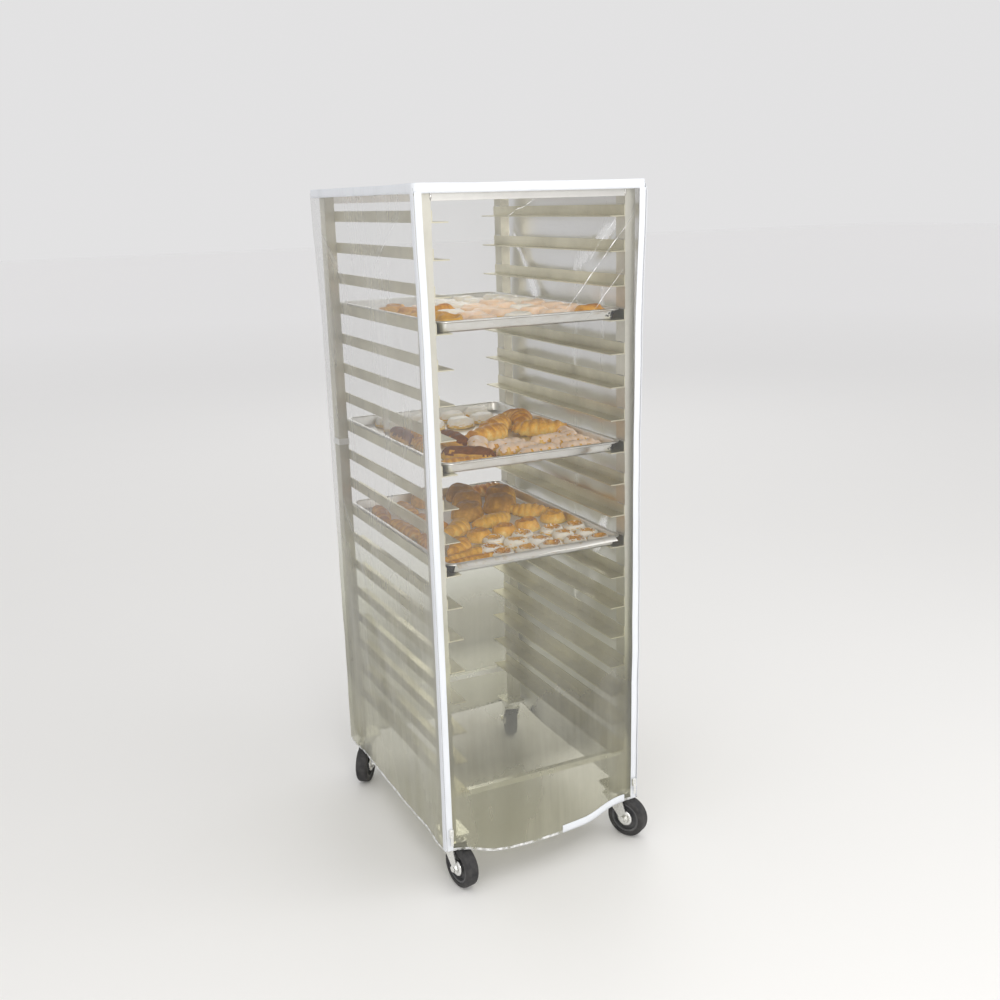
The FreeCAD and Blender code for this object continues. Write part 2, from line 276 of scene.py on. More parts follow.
def aluminium(name, tone, grain, roughness=(0.3, 0.46), metallic=1.0):
    """Mill-finish aluminium, with fine lines along one axis, handling marks and dull patches."""
    paint = Paint(name, tone, 0.38, metallic)
    lines = paint.noise(grain, 3.0)
    patches = paint.noise(7, 5.0, 0.6)
    dull = tuple(c * 0.78 for c in tone)
    cloudy = paint.ramp(patches, (0.32, dull), (0.62, tone))
    worn = tuple(c * 0.88 for c in tone)
    paint.color(paint.mix(paint.span(lines, 0.35, 0.7, 0.0, 0.5), cloudy, worn))
    paint.roughness(patches, roughness[1], roughness[0])
    paint.bump(lines, 0.00006, 0.5)
    paint.bump(paint.noise(60, 2.0), 0.0001, 0.3)
    return paint.material


def pan_metal():
    """Sheet pan aluminium: brushed by use, stained in patches, and nearly black in patches at its front
    corners.
    """
    paint = Paint("pan_metal", (0.84, 0.84, 0.82), 0.34, 1.0)
    scratches = paint.noise((90, 900, 400), 3.0, 0.7, 1.5)
    stains = paint.noise((14, 14, 30), 6.0, 0.65)
    bright = (0.88, 0.88, 0.86)
    base = paint.ramp(stains, (0.28, (0.56, 0.47, 0.36)), (0.4, (0.78, 0.77, 0.73)), (0.7, bright))
    # The pan is painted nearly black near the listed front corners, in patches broken up by noise.
    patchiness = paint.span(paint.noise(150, 5.0, 0.7), 0.3, 0.6, 0.4, 1.5)
    dark_corners = paint.span(paint.times(paint.attribute("corner_darkening"), patchiness), 0.45, 0.62, 0.0, 1.0)
    paint.color(paint.mix(dark_corners, base, (0.014, 0.012, 0.011)))
    paint.roughness(scratches, 0.26, 0.46)
    paint.link(paint.span(dark_corners, 0.0, 1.0, 1.0, 0.0), paint.shader.inputs["Metallic"])
    paint.bump(scratches, 0.00008, 0.5)
    return paint.material


def plain(paint, tone=None, shine=None, grain=None):
    """Gives a surface its colour, roughness and bump, each from its own noise settings.

    tone is (noise, stop, stop), shine is (noise, low, high) and grain is (noise, depth, strength).
    """
    if tone:
        paint.color(paint.ramp(paint.noise(*tone[0]), *tone[1:]))
    if shine:
        paint.roughness(paint.noise(*shine[0]), *shine[1:])
    if grain:
        paint.bump(paint.noise(*grain[0]), *grain[1:])
    return paint.material


def clear_film(name, haze, low_haze, streaky=0.25, dull=(0.5, 0.49, 0.4)):
    """Clear vinyl film: see-through, creased, softly shiny and milkier low down, with painted shade low
    down: its see-through tint and body colour get darker and yellower there, standing in for the shaded
    floor inside the rack.

    haze and low_haze are its milkiness high up and low down, streaky is how much that varies across
    it, and dull is the painted shade tint where it is darkest, a little above its foot.
    """
    paint = Paint(name, (0.86, 0.87, 0.88), 0.3, 0.0, Specular_IOR_Level=0.15)
    clouds = paint.noise((5, 5, 2.4), 4.0, 0.6)
    paint.bump(paint.noise((26, 26, 9), 5.0, 0.62, 0.6), 0.001, 0.5)
    paint.bump(paint.noise((7, 7, 2.6), 3.0, 0.5, 0.8), 0.003, 0.45)
    paint.roughness(clouds, 0.2, 0.36)
    split = paint.node("ShaderNodeSeparateXYZ")
    paint.link(paint.coordinates.outputs["Object"], split.inputs["Vector"])
    height = paint.span(split.outputs["Z"], 0.15, 0.78, 0.0, 1.0)
    # Painted shade: the milky body is darker and yellower low down.
    paint.color(paint.mix(height, (0.6, 0.59, 0.47), (0.87, 0.88, 0.9)))
    streaks = paint.span(paint.noise((30, 30, 1.6), 3.0, 0.6), 0.35, 0.7, 1 - streaky, 1 + streaky)
    amount = paint.times(paint.span(height, 0.0, 1.0, low_haze, haze), streaks)
    share = paint.times(amount, paint.span(clouds, 0.3, 0.75, 0.7, 1.35))
    through = paint.node("ShaderNodeBsdfTransparent")
    # The see-through tint by height: the low stops are painted shade, and the top stop is the film's own
    # faint tint.
    shade_tints = [
        (0.17, (0.62, 0.61, 0.51)),
        (0.25, dull),
        (0.42, tuple(1.35 * c for c in dull)),
        (0.6, (0.8, 0.8, 0.71)),
        (1.0, (0.935, 0.935, 0.93)),
    ]
    paint.link(paint.ramp(height, *shade_tints), through.inputs["Color"])
    body = paint.mix_shaders(share, through.outputs["BSDF"], paint.shader.outputs["BSDF"])
    gloss = paint.node("ShaderNodeBsdfGlossy")
    gloss.inputs["Roughness"].default_value = 0.28
    normal = paint.shader.inputs["Normal"].links[0].from_socket
    paint.link(normal, gloss.inputs["Normal"])
    fresnel = paint.node("ShaderNodeFresnel")
    fresnel.inputs["IOR"].default_value = 1.2
    paint.link(normal, fresnel.inputs["Normal"])
    surface = paint.mix_shaders(fresnel.outputs["Fac"], body, gloss.outputs["BSDF"])
    paint.link(surface, paint.output.inputs["Surface"])
    return paint.material


def painted_crease_highlight():
    """A painted highlight: a whitened line that stands in for the glint along sharp folds and hems, fading
    in and out along it.
    """
    paint = Paint("painted_crease_highlight", (0.95, 0.96, 0.97), 0.25)
    paint.roughness(paint.noise(200), 0.2, 0.4)
    through = paint.node("ShaderNodeBsdfTransparent")
    broken = paint.span(paint.noise(55, 4.0, 0.6), 0.38, 0.62, 0.05, 0.8)
    both = paint.mix_shaders(broken, through.outputs["BSDF"], paint.shader.outputs["BSDF"])
    paint.link(both, paint.output.inputs["Surface"])
    return paint.material


def white_tape(name, tone):
    """Woven white binding: a fine rib across the tape, a soft sheen and a little soiling."""
    paint = Paint(name, tone, 0.75, 0.0, Sheen_Weight=0.1)
    ribs = paint.node("ShaderNodeTexWave", wave_type="BANDS", bands_direction="Z")
    ribs.inputs["Scale"].default_value = 220
    ribs.inputs["Distortion"].default_value = 0.6
    paint.link(paint.coordinates.outputs["Object"], ribs.inputs["Vector"])
    weave = paint.noise((900, 900, 500), 2.0)
    soil = paint.noise((16, 16, 5), 5.0, 0.65)
    paint.color(paint.ramp(soil, (0.3, tuple(0.92 * c for c in tone)), (0.52, tone)))
    paint.bump(ribs.outputs["Fac"], 0.0003, 0.35)
    paint.bump(weave, 0.0002, 0.4)
    return paint.material


def baked(name, low, middle, high, roughness=(0.35, 0.6), coat=0.0):
    """Baked dough: paler at its foot, darker on its crown, mottled, with a tint for each piece."""
    paint = Paint(name, middle, 0.45, Coat_Weight=coat, Coat_Roughness=0.15, Specular_IOR_Level=0.25)
    paint.shader.inputs["Subsurface Weight"].default_value = 0.06
    paint.shader.inputs["Subsurface Radius"].default_value = (0.006, 0.003, 0.0015)
    blotch = paint.span(paint.noise(48, 4.0, 0.6), 0.3, 0.7, -0.3, 0.3)
    browned = paint.node("ShaderNodeMath", operation="ADD")
    paint.link(paint.attribute("rise"), browned.inputs[0])
    paint.link(blotch, browned.inputs[1])
    crust = paint.ramp(browned.outputs["Value"], (0.1, low), (0.5, middle), (0.9, high))
    mottle = paint.noise(130, 6.0, 0.7)
    speckled = paint.mix(paint.span(mottle, 0.42, 0.66, 0.0, 0.55), crust, tuple(c * 0.6 for c in middle))
    lighter = tuple(min(1.0, c * 1.35 + 0.03) for c in middle)
    paint.color(paint.mix(paint.span(paint.attribute("tint"), 0.0, 1.0, 0.0, 0.45), speckled, lighter))
    paint.roughness(mottle, *roughness)
    paint.bump(mottle, 0.0012, 0.6)
    paint.bump(paint.noise(500, 3.0), 0.0004, 0.5)
    return paint.material


def icing(name, shade, color, roughness=0.36, coat=0.35, specular=0.5):
    """Sugar icing or chocolate glaze: smooth, thick, uneven in tone and shine."""
    paint = Paint(name, color, roughness, 0.0, Coat_Weight=coat, Coat_Roughness=0.2)
    paint.shader.inputs["Specular IOR Level"].default_value = specular
    flow = paint.noise(70, 3.0)
    tone = paint.ramp(flow, (0.35, shade), (0.65, color))
    paint.color(paint.mix(paint.span(paint.attribute("tint"), 0.0, 1.0, 0.0, 0.5), tone, shade))
    paint.roughness(flow, roughness * 0.8, roughness * 1.4)
    paint.bump(flow, 0.0012, 0.5)
    return paint.material


def floor_paint():
    """Plain pale floor with painted light: its colour gets lighter far from the rack, so that it fades
    into the pale surroundings.
    """
    near, far = (0.87, 0.865, 0.85), (0.98, 0.975, 0.975)
    paint = Paint("floor_paint", near, 0.6)
    reach = paint.node("ShaderNodeVectorMath", operation="LENGTH")
    paint.link(paint.coordinates.outputs["Object"], reach.inputs[0])
    # Painted light: the floor gets lighter from 3 m out to 14 m.
    paint.color(paint.mix(paint.span(reach.outputs["Value"], 3.0, 14.0, 0.0, 1.0), near, far))
    paint.roughness(paint.noise(3), 0.5, 0.62)
    return paint.material


# The runners are painted darker and yellower than the posts: painted shade, for the shade they stand in
# inside the rack.
RUNNER_METAL_SHADED = aluminium("runner_metal_painted_shade", (0.81, 0.77, 0.6), (220, 3, 220), (0.36, 0.52))
POST_METAL = aluminium("post_metal", (0.84, 0.82, 0.73), (220, 220, 3), (0.34, 0.5))
# The rear posts are the same aluminium as the front ones, painted darker and yellower: painted shade.
REAR_POST_METAL_SHADED = aluminium("rear_post_metal_painted_shade", (0.73, 0.7, 0.58), (220, 220, 3), (0.4, 0.55))
BAR_METAL = aluminium("bar_metal", (0.97, 0.96, 0.93), (3, 220, 220), (0.4, 0.55))
# The bottom crossbars are a whiter copy of the bar metal: the lighter colour is painted light, standing in
# for their bright highlight.
LOW_BAR_METAL_LIT = aluminium("low_bar_metal_painted_light", (1.0, 1.0, 0.99), (3, 220, 220), (0.24, 0.34), 0.6)
WELD_METAL = aluminium("weld_metal", (0.8, 0.79, 0.77), (160, 160, 160), (0.22, 0.34))
PAN_METAL = pan_metal()
# Bright zinc plate on the casters, slightly mottled, with a little grime.
ZINC = plain(
    Paint("zinc_steel", (0.88, 0.88, 0.86), 0.27, 1.0),
    ((22, 5.0, 0.7), (0.26, (0.6, 0.58, 0.53)), (0.42, (0.9, 0.9, 0.88))),
    ((120, 4.0), 0.22, 0.36),
    ((120, 4.0), 0.00004, 0.3),
)
# Black rubber with dust in its pores.
RUBBER = plain(
    Paint("tyre_rubber", (0.03, 0.03, 0.032), 0.62, Specular_IOR_Level=0.4),
    ((45, 6.0, 0.7), (0.35, (0.018, 0.018, 0.02)), (0.72, (0.075, 0.072, 0.07))),
    ((45, 6.0, 0.7), 0.5, 0.8),
    ((700, 2.0), 0.00015, 0.6),
)
# The dark grey moulded wheel centres.
CORE = plain(
    Paint("core_plastic", (0.1, 0.1, 0.105), 0.42),
    ((30,), (0.35, (0.075, 0.075, 0.08)), (0.7, (0.14, 0.14, 0.14))),
    ((300, 3.0), 0.36, 0.55),
    ((300, 3.0), 0.0001, 0.4),
)
# The cover film. Its last value, the darkest low tint, is painted shade.
FILM = clear_film("clear_film", 0.06, 0.28, 0.12, (0.33, 0.32, 0.25))
SIDE_FILM = clear_film("side_film", 0.17, 0.46, 0.1)
# The top is a milkier copy of the film: its extra whiteness is a painted reflection of grazing light on
# its underside.
TOP_FILM_PAINTED_REFLECTION = clear_film("top_film_painted_reflection", 0.3, 0.3)
# Painted highlight: the whitened material of the crease and hem lines stands in for the glints along them.
CREASE_HIGHLIGHT = painted_crease_highlight()
TAPE = white_tape("white_tape", (0.79, 0.815, 0.855))
# The band is a whiter copy of the tape: its extra whiteness is painted light, making up for the shade
# behind the film.
BAND_TAPE_LIT = white_tape("band_tape_painted_light", (0.97, 0.97, 0.96))
# The zippers' moulded teeth and the sewing thread.
TEETH = plain(Paint("white_plastic", (0.8, 0.82, 0.86), 0.35), shine=((200,), 0.28, 0.45))
# White parchment with darker greasy spots.
PAPER = plain(
    Paint("baking_paper", (0.84, 0.83, 0.79), 0.7),
    ((40, 5.0, 0.6), (0.28, (0.7, 0.62, 0.48)), (0.45, (0.86, 0.85, 0.81))),
    grain=((35, 4.0, 0.6), 0.0012, 0.5),
)
GOLDEN = baked("golden_dough", (1.0, 0.74, 0.27), (0.92, 0.46, 0.045), (0.48, 0.15, 0.006), coat=0.15)
BROWN = baked("brown_dough", (0.85, 0.5, 0.07), (0.42, 0.2, 0.008), (0.15, 0.065, 0.002), (0.5, 0.75))
PEACH_ICING = icing("peach_icing", (0.97, 0.68, 0.42), (0.97, 0.79, 0.67))
PALE_ICING = icing("pale_icing", (0.97, 0.9, 0.74), (1.0, 0.98, 0.94))
CHOCOLATE = icing("chocolate", (0.16, 0.05, 0.003), (0.3, 0.1, 0.008), 0.5, 0.03, 0.1)
JAM = icing("jam", (0.75, 0.33, 0.03), (0.9, 0.55, 0.14), 0.3)


# Rack frame: the CAD pieces with softened edges, and the welds that join them


def finish_node(name, material, edge, segments=2):
    """Gives a CAD piece its material and softens its edges."""
    obj = NODES[name]
    obj.data.materials.clear()
    obj.data.materials.append(material)
    bevel(obj, edge, segments)


def dress_frame():
    """The frame's CAD pieces, by how their names start: material, edge radius, segments."""
    looks = {
        "tape_band": (BAND_TAPE_LIT, 0.0004),
        "runner_pair": (RUNNER_METAL_SHADED, 0.0005),
        "post_front": (POST_METAL, 0.0015, 3),
        "post_rear": (REAR_POST_METAL_SHADED, 0.0015, 3),
        "crossbar_top": (BAR_METAL, 0.0012, 3),
        "crossbar_bottom": (LOW_BAR_METAL_LIT, 0.003, 4),
    }
    for name in NODES:
        for start, look in looks.items():
            if name.startswith(start):
                finish_node(name, *look)


def bead(points, faces, start, end, radius, seed):
    """A weld bead: overlapping ripples along a line, added to the lists."""
    along = Vector(end) - Vector(start)
    direction = along.normalized()
    side = direction.orthogonal().normalized()
    up = direction.cross(side)
    ripple_pitch = 0.0011
    rings = max(8, int(along.length / ripple_pitch))
    around = 8
    first = len(points)
    for ring in range(rings + 1):
        part = ring / rings
        ripple = 0.82 + 0.18 * abs(math.sin(part * rings * 0.9))
        taper = min(1.0, 5 * min(part, 1 - part) + 0.15)
        wobble = 1 + 0.2 * waver(part * 6, seed, 0)
        size = radius * ripple * taper * wobble
        centre = Vector(start) + along * part
        for step in range(around):
            angle = 2 * math.pi * step / around
            points.append(centre + (side * math.cos(angle) + up * math.sin(angle)) * size)
    for face in grid_faces(around, rings + 1, True):
        faces.append(tuple(first + i for i in face))


def make_welds():
    """A bead on each runner's leg where it meets a post, and one up each edge of a crossbar's ends."""
    runner_bead, bar_bead = 0.0022, 0.0024
    points, faces = [], []
    post_low, post_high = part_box("post_front_right")
    inner = post_low[0]
    near_y, far_y = abs(post_high[1]) + 0.003, abs(post_low[1]) - 0.006
    lines = []
    for name in NODES:
        if name.startswith("runner_pair"):
            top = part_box(name)[1][2]
            lines += [
                ((side * inner, end * near_y, top), (side * inner, end * far_y, top), runner_bead)
                for side in (-1, 1)
                for end in (-1, 1)
            ]
    for level in ("top", "bottom"):
        for end in ("front", "rear"):
            low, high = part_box(f"crossbar_{level}_{end}")
            lines += [
                ((side * inner, y, low[2]), (side * inner, y, high[2]), bar_bead)
                for side in (-1, 1)
                for y in (low[1], high[1])
            ]
    for seed, (start, end, radius) in enumerate(lines, 1):
        bead(points, faces, start, end, radius, seed)
    welds = new_object("weld_beads", mesh_from("weld_beads", points, faces), WELD_METAL)
    settle(welds, "rack")


# Casters


def ring_solid(name, profile, centre, axis, material, around=48):
    """A closed profile of (distance along the axis, radius) pairs, turned about the axis."""
    axis = Vector(axis)
    side = axis.orthogonal().normalized()
    up = axis.normalized().cross(side)
    rings = []
    for step in range(around):
        angle = 2 * math.pi * step / around
        out = side * math.cos(angle) + up * math.sin(angle)
        rings.append([Vector(centre) + axis * along + out * radius for along, radius in profile])
    return swept_object(name, rings, material)


def joint(name):
    """A joint's record, by its name."""
    return next(j for j in FRAME["record"]["behaviour"]["joints"] if j["name"] == name)


def dress_casters():
    """The casters' CAD pieces, with two thread guards for each wheel and a cup over each upper race."""
    guard_profile = [(0.0145, 0.021), (0.0175, 0.0195), (0.0185, 0.015), (0.0185, 0.009), (0.0145, 0.009)]
    cup_profile = [(0, 0.0285), (-0.006, 0.0285), (-0.0075, 0.026), (-0.0005, 0.026)]
    plate_thick = 0.005
    plate_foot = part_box("caster_plates")[1][2] - plate_thick
    finish_node("caster_plates", ZINC, 0.0008)
    for name in CORNERS:
        finish_node(f"caster_fork_{name}", ZINC, 0.0009, 3)
        finish_node(f"caster_axle_{name}", ZINC, 0.0006)
        finish_node(f"caster_core_{name}", CORE, 0.0012, 3)
        finish_node(f"caster_tyre_{name}", RUBBER, 0.0008)
        spin = joint(f"wheel_{name}_spin")
        for side, end in ((-1, "inner"), (1, "outer")):
            profile = [(side * along, radius) for along, radius in guard_profile]
            guard = ring_solid(f"thread_guard_{name}_{end}", profile, spin["pos_m"], spin["axis"], ZINC)
            settle(guard, f"wheel_{name}")
        turn = joint(f"swivel_{name}_turn")["pos_m"]
        cup = ring_solid(f"race_cup_{name}", cup_profile, (turn[0], turn[1], plate_foot), (0, 0, 1), ZINC)
        settle(cup, "rack")


# Clear cover. Every sheet, tape and tooth is placed by film_point(), so they always meet.

HINGE = joint("flap_hinge")["pos_m"]
TOP_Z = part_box("cover_top")[1][2]
CAD_HEM_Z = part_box("front_flap")[0][2]
TOP_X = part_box("cover_top")[1][0]
TOP_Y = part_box("cover_top")[1][1]
LOW_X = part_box("cover_right")[0][0] + 0.001
LOW_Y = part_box("cover_rear")[0][1] + 0.001
# The hem's height at the corners, just over the wheels.
CORNER_HEM_Z = 0.1035
# How far the unzipped middle of the flap's foot bulges forward.
FRONT_BELLY = 0.03
# The film's foot stands this far out where a turning fork passes inside it, over this reach.
FORK_ROOM = 0.0045
FORK_REACH = 0.045
# The film's waves: depth, grains to the metre across and up it, and a seed.
BROAD_WAVE = (0.006, 3.2, 1.5, 0)
FINE_WAVE = (0.0022, 9, 4.5, 2)
HANGING_WAVE = (0.0018, 16, 1.1, 5)
DEEPEST_WRINKLE = 0.006
# How far the casters' stems stand from the middle, front to back.
STEM_Y = abs(joint("swivel_front_left_turn")["pos_m"][1])
# The tapes along the zippers, and how far their thread is from their inner edge.
TAPE_WIDTH = 0.015
TAPE_THICK = 0.0011
TAPE_LIFT = 0.0012
THREAD_INSET = 0.0025
# The white strip on the flap's hem starts and ends at these shares of its width.
HEM_TAPE = (0.56, 0.93)
# Faces run clockwise seen from above: (start corner, end corner, outward normal).
FACES = {
    "front": ((-1, -1), (1, -1), Vector((0, -1, 0))),
    "right": ((1, -1), (1, 1), Vector((1, 0, 0))),
    "rear": ((1, 1), (-1, 1), Vector((0, 1, 0))),
    "left": ((-1, 1), (-1, -1), Vector((-1, 0, 0))),
}
# Long shallow folds: face, start (along, height), end, half width, depth and the width of the painted
# crease highlight on it. All are in metres but along.
FOLDS = [
    ("front", (0.95, 1.545), (0.62, 1.33), 0.014, 0.006, 0.0022),
    ("front", (0.86, 1.53), (0.74, 1.44), 0.012, -0.004, 0.0018),
    ("front", (0.9, 1.42), (0.72, 1.31), 0.012, 0.004, 0.0016),
    ("front", (0.5, 1.575), (0.38, 1.54), 0.016, -0.005, 0.0016),
    ("front", (0.04, 1.56), (0.3, 1.42), 0.02, 0.005, 0),
    ("front", (0.95, 1.2), (0.72, 0.82), 0.025, 0.005, 0),
    ("front", (0.06, 0.95), (0.36, 0.6), 0.03, 0.006, 0),
    ("front", (0.94, 0.42), (0.55, 0.24), 0.022, -0.005, 0),
    ("left", (0.05, 1.54), (0.4, 1.38), 0.02, 0.006, 0),
    ("left", (0.93, 1.56), (0.6, 1.42), 0.018, 0.005, 0.0012),
    ("left", (0.9, 1.1), (0.45, 0.7), 0.03, 0.006, 0),
    ("left", (0.1, 0.8), (0.5, 0.4), 0.028, -0.005, 0),
    ("right", (0.06, 1.55), (0.42, 1.4), 0.02, 0.006, 0.0014),
    ("right", (0.94, 1.5), (0.55, 1.2), 0.025, 0.005, 0),
    ("right", (0.1, 0.9), (0.5, 0.45), 0.03, 0.006, 0),
    ("rear", (0.05, 1.55), (0.45, 1.36), 0.02, 0.006, 0),
    ("rear", (0.93, 1.5), (0.5, 1.25), 0.025, -0.005, 0),
    ("rear", (0.1, 0.8), (0.55, 0.35), 0.03, 0.006, 0),
]


def face_width(face):
    """A face's width at the film's foot."""
    return 2 * (LOW_X if face in ("front", "rear") else LOW_Y)


def half_size(z):
    """Half the cover's width and depth: widest at its top, drawn in quickly, then straighter."""
    part = (TOP_Z - z) / (TOP_Z - CAD_HEM_Z)
    drawn = min(1.0, 0.45 * smooth(0.0, 0.25, part) + 0.55 * part)
    return TOP_X + (LOW_X - TOP_X) * drawn, TOP_Y + (LOW_Y - TOP_Y) * drawn


def fold_at(face, along, z, width):
    """The depth of all the long folds at a place on a face."""
    depth = 0.0
    for on, start, end, half_width, height, _ in FOLDS:
        if on != face:
            continue
        a = Vector((start[0] * width, start[1], 0))
        line = Vector((end[0] * width, end[1], 0)) - a
        here = Vector((along * width, z, 0)) - a
        part = min(1.0, max(0.0, here.dot(line) / line.length_squared))
        away = (here - line * part).length / (half_width * (0.6 + 0.8 * part))
        depth += height * math.exp(-away * away) * math.sin(math.pi * (0.12 + 0.8 * part))
    return depth


def wave(kind, order, across, z):
    """One kind of wave at a place across and up a face. order makes each face's own."""
    depth, wide, tall, seed = kind
    return depth * waver(across * wide + order, z * tall, seed + order)


def belly_at(along, z):
    """How far the front's unzipped foot bulges forward."""
    sides = smooth(0.02, 0.2, along) * smooth(0.0, 0.5, 1 - along)
    return FRONT_BELLY * sides * (1 - smooth(0.09, 0.6, z))


def near_fork(y, z):
    """How near a side's foot is to a turning fork's crown, from 0 to 1."""
    past = abs(abs(y) - STEM_Y) / FORK_REACH
    return math.exp(-past * past) * (1 - smooth(0.11, 0.25, z))


def film_point(face, along, z, lift=0.0):
    """A point of the film: along runs 0 to 1 over a face. lift moves it outwards."""
    start, end, normal = FACES[face]
    half_x, half_y = half_size(z)
    a = Vector((start[0] * half_x, start[1] * half_y, z))
    b = Vector((end[0] * half_x, end[1] * half_y, z))
    place = a.lerp(b, along)
    width = (b - a).length
    below = TOP_Z - z
    from_end = min(along, 1 - along)
    corner = start if along < 0.5 else end
    diagonal = Vector((corner[0], corner[1], 0)).normalized()
    outward = normal.lerp(diagonal, 1 - smooth(0.0, 0.1, from_end)).normalized()
    seed = 7.0 * corner[0] + 3.0 * corner[1]
    sway = 0.003 * waver(seed, 0, z * 2.6) + 0.0012 * waver(seed, 9, z * 11)
    sway *= smooth(0, 0.12, below)
    order = 11.0 * list(FACES).index(face)
    across = along * width
    wrinkle = wave(BROAD_WAVE, order, across, z) + wave(FINE_WAVE, order, across, z)
    wrinkle += wave(HANGING_WAVE, order, across, z) * smooth(0.0, 0.3, below)
    wrinkle += fold_at(face, along, z, width)
    wrinkle *= smooth(0.0, 0.1, below)
    belly = belly_at(along, z) if face == "front" else 0.0
    room = near_fork(place.y, z) if face in ("left", "right") else 0.0
    wrinkle = max(wrinkle, -DEEPEST_WRINKLE) * (1 - room)
    free = smooth(0.0, 0.09, from_end)
    out = sway * (1 - free) + wrinkle * free + FORK_ROOM * room + belly + lift
    return place + outward * out


def hem_height(face, along):
    """The hem's height: just over the wheels at the corners, hanging lower between them."""
    drop = 0.018 if face == "front" else 0.004
    ripple = 0.003 * waver(along * 5, list(FACES).index(face) * 4.0, 0)
    return CORNER_HEM_Z - (drop + ripple) * smooth(0.09, 0.32, min(along, 1 - along))


def film_sheet(name, face, first, last, top, columns, rows, material):
    """One side of the cover, as a grid between two places along a face."""

    def point_at(u, v):
        along = first + (last - first) * u
        low = hem_height(face, along)
        return film_point(face, along, low + (top - low) * v)

    return grid_object(name, columns, rows, point_at, material)


def tape_and_thread(kind, name, face, near, at_end, high, thread_high):
    """A tape sewn up one end of a face, near metres from its corner, and the thread that sews it."""
    width = face_width(face)
    inner, thread = near + TAPE_WIDTH, near + TAPE_WIDTH - THREAD_INSET
    first, last = (width - inner, width - near) if at_end else (near, inner)

    def point_at(u, v):
        z = CORNER_HEM_Z + (high - CORNER_HEM_Z) * v
        return film_point(face, (first + (last - first) * u) / width, z, TAPE_LIFT)

    tape = grid_object(f"{kind}_tape_{name}", 3, 260, point_at, TAPE)
    modifier(tape, "SOLIDIFY", thickness=TAPE_THICK, offset=0)
    modifier(tape, "BEVEL", width=TAPE_THICK * 0.4, segments=2, limit_method="ANGLE", angle_limit=0.8)
    place = (width - thread if at_end else thread) / width
    return [tape, tape_stitches(f"{kind}_thread_{name}", face, place, CORNER_HEM_Z, thread_high)]


def stitches(name, stations):
    """Short thread stitches, one at each (centre, direction, normal): a six-sided lozenge in the tape."""
    half_length, radius = 0.0017, 0.0004
    points, faces = [], []
    for centre, direction, normal in stations:
        across = direction.cross(normal).normalized()
        first = len(points)
        points.append(centre - direction * half_length)
        for step in range(6):
            angle = math.pi * step / 3
            points.append(centre + across * math.cos(angle) * radius + normal * math.sin(angle) * radius)
        points.append(centre + direction * half_length)
        for step in range(6):
            a = first + 1 + step
            b = first + 1 + (step + 1) % 6
            faces += [(first, b, a), (first + 7, a, b)]
    return new_object(name, mesh_from(name, points, faces), TEETH)


def tape_stitches(name, face, along, low, high, pitch=0.005, lift=0.002):
    """A line of stitches up a face."""
    stations = []
    for item in range(int((high - low) / pitch)):
        z = low + pitch * (item + 0.5)
        here = film_point(face, along, z, lift)
        above = film_point(face, along, z + 0.002, lift)
        stations.append((here, (above - here).normalized(), FACES[face][2]))
    return stitches(name, stations)


def zipper_teeth(name, side, low, high, pitch=0.0026):
    """Two interlocked rows of small teeth up a front corner, each tooth a tapered block."""
    half_tall, shift_each = 0.00095, 0.0009
    section = ((-0.0019, -0.0008), (0.0019, -0.0008), (0.0013, 0.0011), (-0.0013, 0.0011))
    sides = ((3, 2, 1, 0), (4, 5, 6, 7), (0, 1, 5, 4), (1, 2, 6, 5), (2, 3, 7, 6), (3, 0, 4, 7))
    corner = Vector((side, -1, 0)).normalized()
    across = Vector((1, side, 0)).normalized()
    along = 0.0 if side < 0 else 1.0
    points, faces = [], []
    for item in range(int((high - low) / pitch)):
        z = low + pitch * (item + 0.5)
        centre = film_point("front", along, z, 0.0022)
        shift = across * (shift_each if item % 2 else -shift_each)
        first = len(points)
        for dz in (-half_tall, half_tall):
            for a, o in section:
                points.append(centre + shift + across * a + corner * o + Vector((0, 0, dz)))
        faces += [tuple(first + i for i in side) for side in sides]
    return new_object(name, mesh_from(name, points, faces), TEETH)


def top_sheet():
    """The cover's top, resting on the crossbars and sagging between them."""

    def point_at(u, v):
        edge = min(u, 1 - u) * 2 * TOP_X
        end = min(v, 1 - v) * 2 * TOP_Y
        x = TOP_X * (2 * u - 1)
        y = TOP_Y * (2 * v - 1)
        between = smooth(0.055, 0.2, end)
        sag = 0.009 * between * math.sin(math.pi * u)
        ripple = waver(x * 7, y * 7, 3) + 0.5 * waver(x * 19, y * 15, 8)
        raised = 0.0035 * (1 - smooth(0.0, 0.03, min(edge, end)))
        z = TOP_Z + 0.0006 - sag + 0.003 * between * smooth(0, 0.1, edge) * ripple + raised
        return x, y, z

    return grid_object("film_top", 60, 72, point_at, TOP_FILM_PAINTED_REFLECTION)


